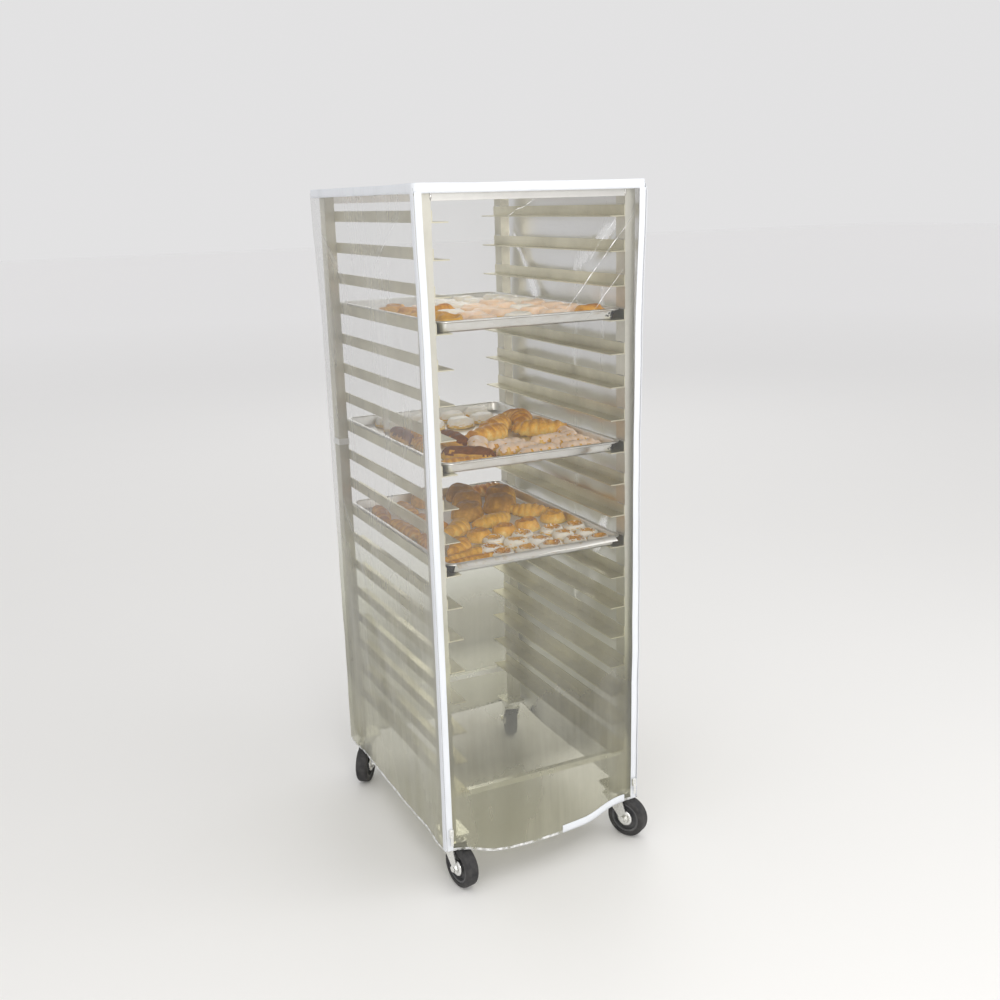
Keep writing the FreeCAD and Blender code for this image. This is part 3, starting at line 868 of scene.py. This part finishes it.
def top_band():
    """The folded binding that stands along the top edge, and its line of stitches."""
    corner_radius, tall, thread_up, pitch = 0.01, 0.02, 0.0042, 0.0055
    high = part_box("cover_binding")[1][2]
    low = high - tall
    profile = [(-0.0018, 0.25), (-0.0018, 0.8), (-0.001, 0.98), (-0.0002, 1.0), (0.0006, 0.98)]
    profile += [(0.0014, 0.8), (0.0016, 0.25), (0.0012, 0.0), (-0.0014, 0.0)]
    path = rounded_path(TOP_X, TOP_Y, corner_radius, 6, 70)
    rings = []
    for spot, out in path:
        sway = 0.0012 * noise.noise(spot * 9)
        crown = 0.0016 * noise.noise(spot * 6 + Vector((0, 0, 4)))
        ring = []
        for offset, height in profile:
            z = low + (high - low) * height + crown * height
            ring.append(spot + out * (offset + sway * height) + Vector((0, 0, z)))
        rings.append(ring)
    stations = []
    for index, (a, out) in enumerate(path):
        b = path[(index + 1) % len(path)][0]
        gap = (b - a).length
        count = max(1, round(gap / pitch)) if gap > 0.004 else 0
        for step in range(count):
            here = a.lerp(b, (step + 0.5) / count)
            sway = 0.0012 * noise.noise(here * 9) * 0.2
            centre = here + out * (0.0017 + sway) + Vector((0, 0, low + thread_up))
            stations.append((centre, (b - a).normalized(), out))
    return swept_object("top_binding", rings, TAPE), stitches("top_binding_thread", stations)


def hem_band(name, face, first, last, material=CREASE_HIGHLIGHT, lift=0.0008, height=0.006):
    """The binding that closes the film's lower edge. With the default crease material it is a painted
    highlight line along the hem.
    """

    def point_at(u, v):
        along = first + (last - first) * u
        return film_point(face, along, hem_height(face, along) - 0.001 + height * v, lift)

    obj = grid_object(name, 90, 4, point_at, material)
    modifier(obj, "SOLIDIFY", thickness=0.0016, offset=0)
    return obj


def crease_line(name, face, start, end, width):
    """A narrow painted highlight along a crease on the film, tapering to both ends and a little crooked.
    """
    across = face_width(face)
    run = Vector(((end[0] - start[0]) * across, end[1] - start[1], 0))

    def point_at(u, part):
        crook = 0.004 * waver(part * 4, start[1] * 9, start[0]) * math.sin(math.pi * part)
        half = width / 2 * (0.15 + math.sin(math.pi * part))
        shift = crook + (2 * u - 1) * half
        along = start[0] + (end[0] - start[0]) * part - shift * run.y / run.length / across
        z = start[1] + (end[1] - start[1]) * part + shift * run.x / run.length
        return film_point(face, along, z, 0.0006)

    return grid_object(name, 2, 60, point_at, CREASE_HIGHLIGHT)


def face_creases(face):
    """The painted highlights along one face's sharper folds."""
    lines = [(start, end, width) for on, start, end, _, _, width in FOLDS if on == face and width]
    return [crease_line(f"crease_{face}_{index}", face, *line) for index, line in enumerate(lines)]


def zip_pull(side):
    """A slider body with its bail and a long pull, hanging in front of the teeth."""
    node = f"zip_slider_{side}"
    low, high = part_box(node)
    x = (low[0] + high[0]) / 2
    body_z = high[2] - 0.011
    parts = [
        ((x, high[1] - 0.0032, body_z), (0.0105, 0.0055, 0.021)),
        ((x, low[1] + 0.0022, body_z + 0.001), (0.0032, 0.0035, 0.015)),
        ((x, low[1] + 0.001, body_z - 0.018), (0.0068, 0.0018, 0.027)),
    ]
    bm = bmesh.new()
    for centre, size in parts:
        matrix = Matrix.Translation(centre) @ Matrix.Diagonal((*size, 1))
        bmesh.ops.create_cube(bm, size=1, matrix=matrix)
    mesh = bpy.data.meshes.new(node + "_cast")
    bm.to_mesh(mesh)
    bm.free()
    obj = new_object(node + "_cast", mesh, ZINC)
    modifier(obj, "BEVEL", width=0.0009, segments=3, limit_method="ANGLE")
    modifier(obj, "WEIGHTED_NORMAL", keep_sharp=False)
    settle(obj, f"zip_{side}", node)


def make_flap():
    """The front flap's film, with its zipper tapes, teeth, thread, painted hem highlight, hem strip and
    painted crease highlights.
    """
    edge = 0.003 / (2 * LOW_X)
    top = HINGE[2]
    flap = film_sheet("film_flap", "front", edge, 1 - edge, top, 110, 230, FILM)
    settle(flap, "front_flap", "front_flap")
    tapes = []
    for side, name in ((-1, "left"), (1, "right")):
        tapes += tape_and_thread("flap", name, "front", 0.002, side > 0, top, top - 0.01)
        tapes.append(zipper_teeth(f"zip_teeth_{name}", side, CORNER_HEM_Z + 0.004, top - 0.004))
    tapes.append(hem_band("flap_hem_tape", "front", *HEM_TAPE, TAPE, 0.0016, 0.019))
    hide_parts("flap_tapes")
    films = [hem_band("flap_hem", "front", edge, 1 - edge), *face_creases("front")]
    for piece in tapes:
        settle(piece, "front_flap")
    for piece in films:
        settle(piece, "front_flap")


def make_cover():
    """The flap, the three fixed sides with their painted hem and crease highlights and their tapes, the
    top and the sliders.
    """
    make_flap()
    for face in ("left", "right", "rear"):
        material = SIDE_FILM if face == "left" else FILM
        sheet = film_sheet(f"film_{face}", face, 0.0, 1.0, TOP_Z, 120, 200, material)
        settle(sheet, "rack", f"cover_{face}")
        films = [hem_band(f"hem_{face}", face, 0.0, 1.0), *face_creases(face)]
        tapes = []
        if face != "rear":
            at_end = face == "left"
            tapes = tape_and_thread("fixed", face, face, 0.0005, at_end, TOP_Z - 0.006, TOP_Z - 0.012)
        for piece in films:
            settle(piece, "rack")
        for piece in tapes:
            settle(piece, "rack")
    top = top_sheet()
    band, thread = top_band()
    settle(top, "rack", "cover_top")
    settle(band, "rack", "cover_binding")
    settle(thread, "rack")
    for side in ("left", "right"):
        zip_pull(side)


# Pans


def pan_section(height):
    """A pan's section as (inset from the rim, height) pairs, from its base out to its rolled edge."""
    section = [(0.12, 0.0), (0.06, 0.0), (0.03, 0.0), (0.0186, 0.0), (0.0172, 0.0003), (0.016, 0.0014)]
    wall_low, wall_high = Vector((0.0152, 0.0032)), Vector((0.0106, height - 0.0042))
    section += [tuple(wall_low.lerp(wall_high, step / 6)) for step in range(7)]
    section += [(0.0102, height - 0.0028), (0.0094, height - 0.0016), (0.008, height - 0.0012)]
    section.append((0.005, height - 0.0012))
    for step in range(6):
        angle = math.radians(90 - 40 * step)
        section.append((0.0024 - 0.0018 * math.cos(angle), height - 0.003 + 0.0018 * math.sin(angle)))
    return section


def corner_darkening_at(point, dark_corners, half_x, half_y, base):
    """How dark the outside of the pan is near the listed front corners, from 0 up."""
    inset, above = 0.017, 0.011
    thick = 0.0
    for side, end, size in dark_corners:
        spot = Vector((side * (half_x - inset), end * (half_y - inset), base + above))
        thick = max(thick, 1.3 * math.exp(-(((point - spot).length / size) ** 2)))
    return thick


def make_pan(name, dark_corners):
    """A pressed pan: flat base, sloping walls, flat rim and a rolled edge."""
    low, high = (Vector(corner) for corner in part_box(f"pan_{name}"))
    half_x, half_y = high.x, high.y
    sheet, corner_radius, least_radius = 0.0012, 0.028, 0.004
    section = pan_section(high.z - low.z)
    points = []
    for inset, z in section:
        level = Vector((0, 0, low.z + min(z + sheet / 2, high.z - low.z)))
        radius = max(least_radius, corner_radius - inset)
        path = rounded_path(half_x - inset, half_y - inset, radius, 8, 12)
        points += [place + level for place, _ in path]
    columns = len(path)
    faces = grid_faces(columns, len(section), True)
    faces.append(tuple(reversed(range(columns))))
    corner_darkening = []
    for point in points:
        corner_darkening.append(corner_darkening_at(point, dark_corners, half_x, half_y, low.z))
        dent = waver(point.x * 9, point.y * 9, point.z * 3)
        point.z += 0.0006 * dent * (1 - smooth(low.z + 0.004, low.z + 0.01, point.z))
    mesh = mesh_from(f"sheet_pan_{name}", points, faces)
    mesh.attributes.new("corner_darkening", "FLOAT", "POINT").data.foreach_set("value", corner_darkening)
    obj = new_object(f"sheet_pan_{name}", mesh, PAN_METAL)
    modifier(obj, "SOLIDIFY", thickness=sheet, offset=0)
    modifier(obj, "WEIGHTED_NORMAL", keep_sharp=False)
    settle(obj, f"pan_{name}", f"pan_{name}")


# Pastries. A pan's pastries are one mesh; each piece is round or long, with bands of topping.


def round_form(part, angle, fullness=0.5, dip=0.0, swirl=0.0):
    """A dome: fullness shapes its side, dip hollows its crown, swirl turns a spiral up it."""
    reach = math.cos(part * math.pi / 2) ** fullness
    level = math.sin(part * math.pi / 2)
    hollow = dip * math.exp(-((reach / 0.42) ** 2))
    spiral = swirl * math.sin(angle + reach * 11) * min(1.0, part * 3)
    return reach * math.cos(angle), reach * math.sin(angle), level - hollow + spiral, part


def long_form(part, angle, blunt=4.0, bend=0.0, ridges=0.0, deep=0.0, flat=0.35):
    """A roll on its side: blunt ends or tapered ones, bent or straight, plain or ridged."""
    along = -math.cos(math.pi * part)
    girth = max(0.0, 1 - abs(along) ** blunt) ** 0.5
    groove = abs(math.cos(ridges * math.pi / 2 * along + 0.5 * angle)) ** 5 if ridges else 0.0
    girth *= 1 - deep * groove
    across = girth * math.cos(angle) + bend * along * along
    level = max(0.0, flat + (1 - flat) * girth * math.sin(angle)) * min(1.0, 4 * girth)
    return along, across, level, 0.5 + 0.5 * math.sin(angle) - 0.5 * groove


# Each kind: form, its settings, (half length, half width, height), and bands of (rise, material).
# The materials are 0 golden dough, 1 brown dough, 2 chocolate, 3 peach icing, 4 pale icing, 5 jam.
HOLLOW = {"fullness": 0.4, "dip": 0.4, "swirl": 0.07}
JAM_BANDS = [(0, 0), (0.22, 4), (0.8, 0), (0.94, 5)]
LUMPY = {"blunt": 3.0, "ridges": 5, "deep": 0.2}
BENT = {"blunt": 1.6, "bend": 0.75, "ridges": 7, "deep": 0.34}
KINDS = {
    "bun": (round_form, {"fullness": 0.5, "swirl": 0.05}, (0.044, 0.043, 0.043), [(0, 1)]),
    "danish": (round_form, HOLLOW, (0.037, 0.036, 0.026), JAM_BANDS),
    "slice": (round_form, {"fullness": 0.32, "swirl": 0.06}, (0.042, 0.037, 0.026), [(0, 0), (0.24, 3)]),
    "cream": (round_form, {"fullness": 0.35, "swirl": 0.05}, (0.038, 0.036, 0.025), [(0, 0), (0.22, 4)]),
    "spiral": (round_form, {"fullness": 0.42, "swirl": 0.13}, (0.038, 0.037, 0.028), [(0, 0)]),
    "eclair": (long_form, {"flat": 0.3}, (0.066, 0.022, 0.034), [(0, 0), (0.72, 2)]),
    "glazed": (long_form, LUMPY, (0.058, 0.027, 0.031), [(0, 0), (0.52, 3)]),
    "twist": (long_form, {"blunt": 3.0, "ridges": 7, "deep": 0.34}, (0.07, 0.022, 0.032), [(0, 0)]),
    "stick": (long_form, {"blunt": 6.0, "ridges": 9, "deep": 0.14}, (0.075, 0.013, 0.02), [(0, 0)]),
    "croissant": (long_form, BENT, (0.062, 0.03, 0.038), [(0, 0)]),
}


class Tray:
    """Collects one pan's pastries into one mesh, with a rise and a tint for each point."""

    AROUND = 30
    RINGS = 30

    def __init__(self, name):
        self.name = name
        self.points, self.faces, self.slots = [], [], []
        self.rise, self.tint = [], []
        self.seed = 0
        self.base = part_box(f"pastries_{name}")[0][2]

    def add(self, kind, x, y, turn=0.0, size=1.0):
        """A piece of a kind at x, y in millimetres, turned by degrees and lumpy in its own way."""
        form, settings, (half_long, half_wide, height), bands = KINDS[kind]
        self.seed += 1
        first = len(self.points)
        tint = 0.5 + 0.8 * waver(self.seed * 1.7, 3.1, 0.5)
        size *= 1 + 0.1 * waver(self.seed * 2.3, 7.7, 0.2)
        rotation = Matrix.Rotation(math.radians(turn), 3, "Z")
        centre = Vector((x * MM, y * MM, self.base))
        rises = []
        for ring in range(self.RINGS + 1):
            part = 0.004 + 0.992 * ring / self.RINGS if form is long_form else ring / self.RINGS
            for step in range(self.AROUND):
                angle = 2 * math.pi * step / self.AROUND
                along, across, level, rise = form(part, angle, **settings)
                grow = 1 + 0.09 * waver(along * 1.6, across * 1.6, self.seed * 3.0)
                local = Vector((along * half_long, across * half_wide, 0)) * size * grow
                bump = waver(local.x * 55, local.y * 55, self.seed * 4.0)
                local.z = height * size * level * (1 + 0.1 * bump)
                self.points.append(centre + rotation @ local)
                rises.append(rise)
        # How ragged the edges of the toppings are.
        ragged = 0.3 if form is round_form else 0.16
        self.rise += rises
        self.tint += [tint] * len(rises)
        for index, face in enumerate(grid_faces(self.AROUND, self.RINGS + 1, True)):
            spot = Vector((index % self.AROUND * 0.5, index // self.AROUND * 0.5, self.seed))
            rise = sum(rises[i] for i in face) / 4 + ragged * noise.noise(spot)
            self.faces.append(tuple(first + i for i in face))
            self.slots.append([slot for level, slot in bands if rise >= level or level == 0][-1])
        for ring, slot in ((0, bands[0][1]), (self.RINGS, self.slots[-1])):
            cap = [first + ring * self.AROUND + step for step in range(self.AROUND)]
            self.faces.append(tuple(cap if ring else reversed(cap)))
            self.slots.append(slot)

    def build(self):
        """Makes the mesh, in place of the pan's plain CAD pastries."""
        name = f"pastries_{self.name}_baked"
        mesh = mesh_from(name, self.points, self.faces, self.slots)
        for label, values in (("rise", self.rise), ("tint", self.tint)):
            layer = mesh.attributes.new(label, "FLOAT", "POINT")
            layer.data.foreach_set("value", values)
        obj = new_object(name, mesh, [GOLDEN, BROWN, CHOCOLATE, PEACH_ICING, PALE_ICING, JAM])
        modifier(obj, "SUBSURF", levels=1, render_levels=1)
        settle(obj, f"pan_{self.name}", f"pastries_{self.name}")


def upper_pastries():
    """Peach-iced slices packed together, with golden ones on the left and paler ones in front."""
    tray = Tray("upper")
    for column, x in enumerate((-172, -88, -2, 84, 170)):
        for row, y in enumerate((-266, -186, -104, -22, 62, 146, 232)):
            if row > 4 and column < 2:
                continue
            kind = "slice"
            if column == 0 or (column, row) in ((1, 3), (4, 0)):
                kind = "spiral"
            elif row > 4 or (column * 2 + row) % 4 == 0:
                kind = "cream"
            shift = 7 * math.sin(5 * column + 3 * row)
            tray.add(kind, x + shift, y + 6 * math.cos(4 * column + row), 25 * shift)
    tray.build()


def middle_pastries():
    """Eclairs on the left, croissants in the middle, pale pieces behind, peach-glazed in front."""
    tray = Tray("middle")
    for x, y, turn in ((-121, -226, -43), (-84, -58, 93), (-170, 60, 86)):
        tray.add("eclair", x, y, turn)
    for x, y, turn in ((26, -48, 20), (150, -62, -28), (92, 48, 40), (176, 92, 80)):
        tray.add("croissant", x, y, turn, 1.12)
    back = ((-52, 158), (30, 152), (106, 180), (-130, 196), (-40, 240), (44, 236), (126, 262), (-124, 272))
    for x, y in back:
        tray.add("cream", x, y, x + y)
    for x, y, turn in ((-166, -84, 84), (-118, 76, 97), (-168, -280, -8)):
        tray.add("twist", x, y, turn, 0.8 if y < -200 else 1.0)
    for row, y in enumerate((-282, -228, -174)):
        for x in (26, 148):
            tray.add("glazed", x - 14 * row + 8 * math.sin(x + y), y, 14 * math.sin(x * y), 0.95)
    tray.add("glazed", -56, -140, 66)
    tray.add("glazed", 196, -118, 84, 0.8)
    tray.build()


def lower_pastries():
    """Dark buns behind, golden twists on the left and iced danishes at the front right."""
    tray = Tray("lower")
    for x, y in ((8, 76), (112, 98), (60, 190), (160, 192), (-30, 256), (72, 264)):
        tray.add("bun", x, y, x)
    left = ((-193, 176, 78), (-192, 18, 96), (-188, -136, 82), (-118, 186, 88), (-112, 40, 100))
    for x, y, turn in left:
        tray.add("twist", x, y, turn, 1.05)
    for x, y, turn in ((-68, -40, 50), (42, -24, 15), (152, 18, -40), (-128, -182, 60), (158, 268, 0)):
        tray.add("croissant", x, y, turn, 0.95)
    for x, y, turn in ((-150, -242, 20), (-142, -280, 8)):
        tray.add("stick", x, y, turn)
    for x, y in ((-48, -116), (24, -106), (96, -90), (186, -60)):
        tray.add("spiral", x, y, y, 0.88)
    for row, y in enumerate((-280, -222, -164)):
        for column, x in enumerate((-66, -2, 62, 126, 190)):
            if row < 2 or column > 2:
                shift = 5 * math.sin(3 * column + 5 * row)
                tray.add("danish", x + shift, y + 2 * shift, 40 * shift, 0.84)
    tray.add("danish", -34, -166, 0, 0.84)
    tray.add("danish", 44, -164, 50, 0.84)
    tray.build()


def make_liner():
    """Baking paper on the lower pan, curling up and over its front rim."""
    low, high = (Vector(corner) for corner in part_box("liner_lower"))
    lip, margin, thick = 0.03, 0.006, 0.0004
    front = low.y - margin
    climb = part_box("pan_lower")[1][2] - low.z + 0.0015

    def point_at(u, v):
        x = low.x + (high.x - low.x) * u
        y = high.y - (high.y - low.y + margin + lip) * v
        z = low.z + thick + 0.0006 * waver(x * 20, y * 20, 0)
        if y < front:
            past = front - y
            z += climb * smooth(0.0, 0.016, past) + 0.002 * waver(x * 14, 0, 3)
            z -= 0.009 * smooth(0.014, lip, past)
        return x, y, z

    obj = grid_object("liner_paper", 60, 96, point_at, PAPER)
    settle(obj, "pan_lower", "liner_lower")


# Camera, floor and lights


def set_camera():
    """The camera: its place, its turn, tilt and roll in degrees, and its lens."""
    camera = bpy.data.cameras.new("camera")
    obj = bpy.data.objects.new("camera", camera)
    bpy.context.scene.collection.objects.link(obj)
    yaw, pitch, roll = (math.radians(a) for a in (25.82, 14.76, -1.58))
    forward = Vector((math.sin(yaw) * math.cos(pitch), math.cos(yaw) * math.cos(pitch), -math.sin(pitch)))
    right = Vector((math.cos(yaw), -math.sin(yaw), 0))
    up = right.cross(forward)
    tilted_right = right * math.cos(roll) + up * math.sin(roll)
    tilted_up = up * math.cos(roll) - right * math.sin(roll)
    axes = Matrix((tilted_right, tilted_up, -forward)).transposed()
    obj.matrix_world = Matrix.Translation((-1.161, -2.535, 1.574)) @ axes.to_4x4()
    camera.sensor_width = 36
    camera.lens = 41.04
    bpy.context.scene.camera = obj


def area_light(name, place, aim, size, power, color):
    """A soft rectangular lamp that the camera doesn't see, of that power in watts."""
    light = bpy.data.lights.new(name, "AREA")
    light.shape = "RECTANGLE"
    light.size, light.size_y = size
    light.energy = power
    light.color = color
    obj = bpy.data.objects.new(name, light)
    bpy.context.scene.collection.objects.link(obj)
    obj.location = place
    obj.rotation_euler = (Vector(aim) - Vector(place)).to_track_quat("-Z", "Y").to_euler()
    obj.visible_camera = False


def set_stage():
    """The plain floor, the pale surroundings and the lamps."""
    reach = 40.0
    corners = [(x * reach, y * reach, 0) for x, y in ((-1, -1), (1, -1), (1, 1), (-1, 1))]
    new_object("floor", mesh_from("floor", corners, [(0, 1, 2, 3)]), floor_paint())
    world = bpy.data.worlds.new("studio")
    world.use_nodes = True
    background = world.node_tree.nodes["Background"]
    background.inputs["Color"].default_value = (0.88, 0.875, 0.88, 1)
    background.inputs["Strength"].default_value = 0.87
    bpy.context.scene.world = world
    bpy.context.scene.view_settings.view_transform = "Standard"
    area_light("ceiling", (0.2, -0.8, 3.6), (0, 0, 0.8), (2.6, 2.6), 8, (1.0, 0.98, 0.94))
    area_light("front_fill", (-2.6, -3.0, 2.4), (0, 0, 0.8), (1.6, 2.0), 12, (1.0, 0.98, 0.94))
    area_light("low_front", (-0.6, -3.6, 1.7), (0, 0, 1.0), (1.4, 1.0), 38, (1.0, 0.98, 0.94))
    area_light("back_strip", (2.9, 5.2, 3.75), (0, 0, 0.3), (3.0, 0.7), 24, (1.0, 0.99, 0.97))
    area_light("front_strip", (1.2, -1.7, 2.6), (0, -0.33, 0.23), (2.4, 0.25), 9, (1.0, 0.99, 0.97))
    area_light("right_window", (3.0, -1.6, 2.2), (0, 0, 0.8), (1.2, 2.2), 8, (0.95, 0.97, 1.0))


dress_frame()
make_welds()
dress_casters()
make_cover()
make_pan("upper", [(1, -1, 0.013)])
make_pan("middle", [(1, -1, 0.012)])
make_pan("lower", [(1, -1, 0.012), (-1, -1, 0.014)])
upper_pastries()
middle_pastries()
lower_pastries()
make_liner()
set_camera()
set_stage()
